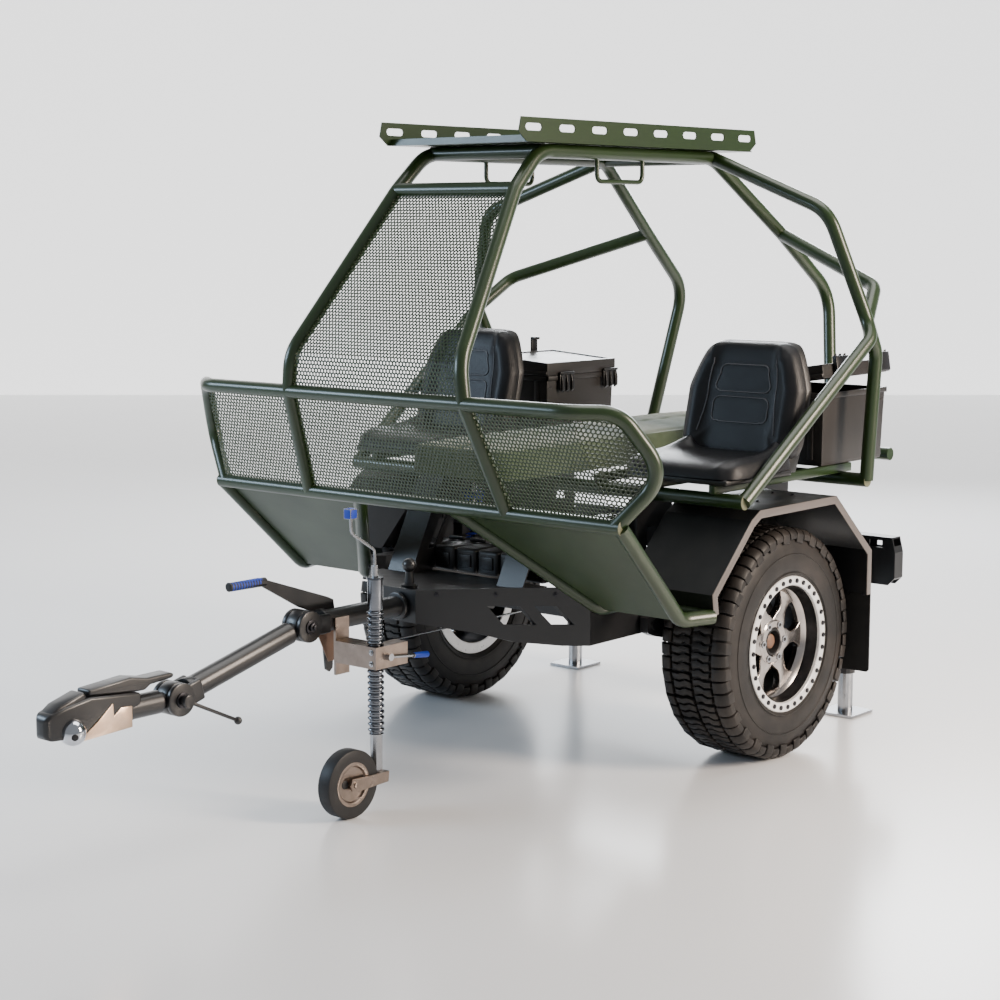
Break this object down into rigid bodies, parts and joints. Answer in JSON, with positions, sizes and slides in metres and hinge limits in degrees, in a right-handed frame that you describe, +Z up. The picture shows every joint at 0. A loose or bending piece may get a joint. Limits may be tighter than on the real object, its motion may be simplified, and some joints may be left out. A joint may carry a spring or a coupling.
{
  "type": "game cart",
  "caption": "Two-seat off-road hunting trailer with a bent-tube cage, mesh guard, roof rack, tool boxes, jockey wheel and articulated hitch.",
  "frame": {"origin": "centre of the footprint of the whole cart, on the ground", "axes": "+Z up, the hitch points towards -Y and the tail towards +Y, +X to the right of someone facing the front of the cart"},
  "size_m": [2.0086, 3.5256, 2.1696],
  "materials": {
    "green_powder_coat": "olive green powder coat, satin",
    "black_powder_coat": "black powder coat, fine texture",
    "tyre_rubber": "black tyre rubber",
    "flap_rubber": "matt black rubber sheet",
    "machined_alloy": "machined and clear coated",
    "bright_zinc": "bright zinc plate",
    "black_vinyl": "black grained vinyl",
    "black_plastic": "moulded dark plastic",
    "green_cloth": "green pile cloth"
  },
  "bodies": {
    "cart": {"chassis_frame": "black_powder_coat", "tow_ball": "black_powder_coat", "rear_beam": "black_powder_coat", "guard_frame": "green_powder_coat", "cage_loop": "green_powder_coat", "deck_frame": "green_powder_coat", "side_frame_left": "green_powder_coat", "side_frame_right": "green_powder_coat", "foot_frame_left": "green_powder_coat", "foot_frame_right": "green_powder_coat", "foot_panel_left": "green_powder_coat", "foot_panel_right": "green_powder_coat", "screen_mesh": "green_powder_coat", "guard_mesh_centre": "green_powder_coat", "guard_mesh_left": "green_powder_coat", "guard_mesh_right": "green_powder_coat", "rack_tray": "green_powder_coat", "rack_rail_left": "green_powder_coat", "rack_rail_right": "green_powder_coat", "centre_bolster": "green_cloth", "fender_left": "black_powder_coat", "fender_right": "black_powder_coat", "mud_flap_left": "flap_rubber", "mud_flap_right": "flap_rubber", "seat_shell_left": "black_plastic", "seat_shell_right": "black_plastic", "seat_cushion_left": "black_vinyl", "seat_cushion_right": "black_vinyl", "seat_back_left": "black_vinyl", "seat_back_right": "black_vinyl", "tool_box_left": "black_plastic", "tool_box_right": "black_plastic", "drawbar": "black_powder_coat", "jack_clamp": "bright_zinc"},
    "arm_left": {"trailing_arm_left": "black_powder_coat"},
    "wheel_left": {"tyre_left": "tyre_rubber", "rim_left": "machined_alloy"},
    "leg_left": {"stabiliser_leg_left": "bright_zinc"},
    "lid_left": {"box_lid_left": "black_plastic"},
    "arm_right": {"trailing_arm_right": "black_powder_coat"},
    "wheel_right": {"tyre_right": "tyre_rubber", "rim_right": "machined_alloy"},
    "leg_right": {"stabiliser_leg_right": "bright_zinc"},
    "lid_right": {"box_lid_right": "black_plastic"},
    "latch_left_front_body": {"latch_left_front": "black_plastic"},
    "latch_right_front_body": {"latch_right_front": "black_plastic"},
    "latch_left_rear_body": {"latch_left_rear": "black_plastic"},
    "latch_right_rear_body": {"latch_right_rear": "black_plastic"},
    "link": {"mid_link": "black_powder_coat"},
    "coupler": {"coupler_body": "black_powder_coat"},
    "coupler_handle": {"coupler_latch": "black_powder_coat"},
    "lock": {"lock_lever": "black_powder_coat"},
    "brake": {"brake_lever": "black_powder_coat"},
    "brake_pull": {"brake_rod": "bright_zinc"},
    "jack": {"jack_tube": "bright_zinc"},
    "stem": {"jack_stem": "bright_zinc"},
    "castor": {"jack_fork": "bright_zinc"},
    "jockey": {"jockey_wheel": "tyre_rubber"},
    "crank": {"jack_crank": "bright_zinc"},
    "jack_lock": {"clamp_lever": "bright_zinc"}
  },
  "joints": [
    {"name": "suspension_left", "type": "hinge", "parent": "cart", "child": "arm_left", "pos_m": [0, 0.3554, 0.49], "axis": [1, 0, 0], "range_deg": [-3, 5], "stiffness_Nm_per_rad": 5200, "springref_deg": -5.16},
    {"name": "wheel_spin_left", "type": "hinge", "parent": "arm_left", "child": "wheel_left", "pos_m": [-0.7095, 0.7354, 0.4], "axis": [1, 0, 0], "continuous": true},
    {"name": "leg_slide_left", "type": "slide", "parent": "cart", "child": "leg_left", "axis": [0, 0, 1], "range_m": [0, 0.14]},
    {"name": "suspension_right", "type": "hinge", "parent": "cart", "child": "arm_right", "pos_m": [0, 0.3554, 0.49], "axis": [1, 0, 0], "range_deg": [-3, 5], "stiffness_Nm_per_rad": 5200, "springref_deg": -5.16},
    {"name": "wheel_spin_right", "type": "hinge", "parent": "arm_right", "child": "wheel_right", "pos_m": [0.7095, 0.7354, 0.4], "axis": [1, 0, 0], "continuous": true},
    {"name": "leg_slide_right", "type": "slide", "parent": "cart", "child": "leg_right", "axis": [0, 0, 1], "range_m": [0, 0.14]},
    {"name": "lid_hinge_left", "type": "hinge", "parent": "cart", "child": "lid_left", "pos_m": [-0.796, 0.7354, 1.2439], "axis": [0, -1, 0], "range_deg": [0, 80]},
    {"name": "lid_hinge_right", "type": "hinge", "parent": "cart", "child": "lid_right", "pos_m": [0.454, 0.7354, 1.2439], "axis": [0, -1, 0], "range_deg": [-8.8, 80]},
    {"name": "latch_hinge_left_front", "type": "hinge", "parent": "lid_left", "child": "latch_left_front_body", "pos_m": [-0.4497, 1.1204, 1.2499], "axis": [0, -1, 0], "range_deg": [0, 175]},
    {"name": "latch_hinge_right_front", "type": "hinge", "parent": "lid_right", "child": "latch_right_front_body", "pos_m": [0.7951, 1.1204, 1.304], "axis": [0, 1, 0], "range_deg": [0, 175]},
    {"name": "latch_hinge_left_rear", "type": "hinge", "parent": "lid_left", "child": "latch_left_rear_body", "pos_m": [-0.4497, 1.4004, 1.2499], "axis": [0, -1, 0], "range_deg": [0, 175]},
    {"name": "latch_hinge_right_rear", "type": "hinge", "parent": "lid_right", "child": "latch_right_rear_body", "pos_m": [0.7951, 1.4004, 1.304], "axis": [0, 1, 0], "range_deg": [0, 175]},
    {"name": "hitch_knee_rear", "type": "hinge", "parent": "cart", "child": "link", "pos_m": [0, -0.7596, 0.583], "axis": [1, 0, 0], "range_deg": [-25, 20]},
    {"name": "hitch_knee_front", "type": "hinge", "parent": "link", "child": "coupler", "pos_m": [0, -1.2848, 0.445], "axis": [1, 0, 0], "range_deg": [-30, 30]},
    {"name": "coupler_latch_hinge", "type": "hinge", "parent": "coupler", "child": "coupler_handle", "pos_m": [0, -1.6128, 0.5123], "axis": [1, 0, 0], "range_deg": [0, 40]},
    {"name": "knee_lock_turn", "type": "hinge", "parent": "link", "child": "lock", "pos_m": [0, -1.2848, 0.445], "axis": [1, 0, 0], "range_deg": [-40, 75]},
    {"name": "brake_lever_hinge", "type": "hinge", "parent": "cart", "child": "brake", "pos_m": [0, -0.5976, 0.583], "axis": [-1, 0, 0], "range_deg": [0, 35]},
    {"name": "brake_rod_slide", "type": "slide", "parent": "cart", "child": "brake_pull", "axis": [0, -1, 0], "range_m": [0, 0.09]},
    {"name": "jack_tube_slide", "type": "slide", "parent": "cart", "child": "jack", "axis": [0, 0, 1], "range_m": [0, 0.2]},
    {"name": "jack_stem_slide", "type": "slide", "parent": "jack", "child": "stem", "axis": [0, 0, -1], "range_m": [-0.08, 0.12]},
    {"name": "jack_crank_turn", "type": "hinge", "parent": "jack", "child": "crank", "pos_m": [0.19, -0.6266, 0.8], "axis": [0, 0, 1], "range_deg": [-3600, 5400]},
    {"name": "castor_swivel", "type": "hinge", "parent": "stem", "child": "castor", "pos_m": [0.19, -0.6266, 0.1], "axis": [0, 0, 1], "continuous": true},
    {"name": "jockey_spin", "type": "hinge", "parent": "castor", "child": "jockey", "pos_m": [0.19, -0.7536, 0.108], "axis": [1, 0, 0], "continuous": true},
    {"name": "jack_clamp_turn", "type": "hinge", "parent": "cart", "child": "jack_lock", "pos_m": [0.224, -0.6066, 0.49], "axis": [1, 0, 0], "range_deg": [-80, 60]}
  ],
  "couplings": [
    {"joint": "jack_crank_turn", "follows": "jack_stem_slide", "rad_per_m": 628.32},
    {"joint": "brake_rod_slide", "follows": "brake_lever_hinge", "m_per_rad": 0.128}
  ]
}
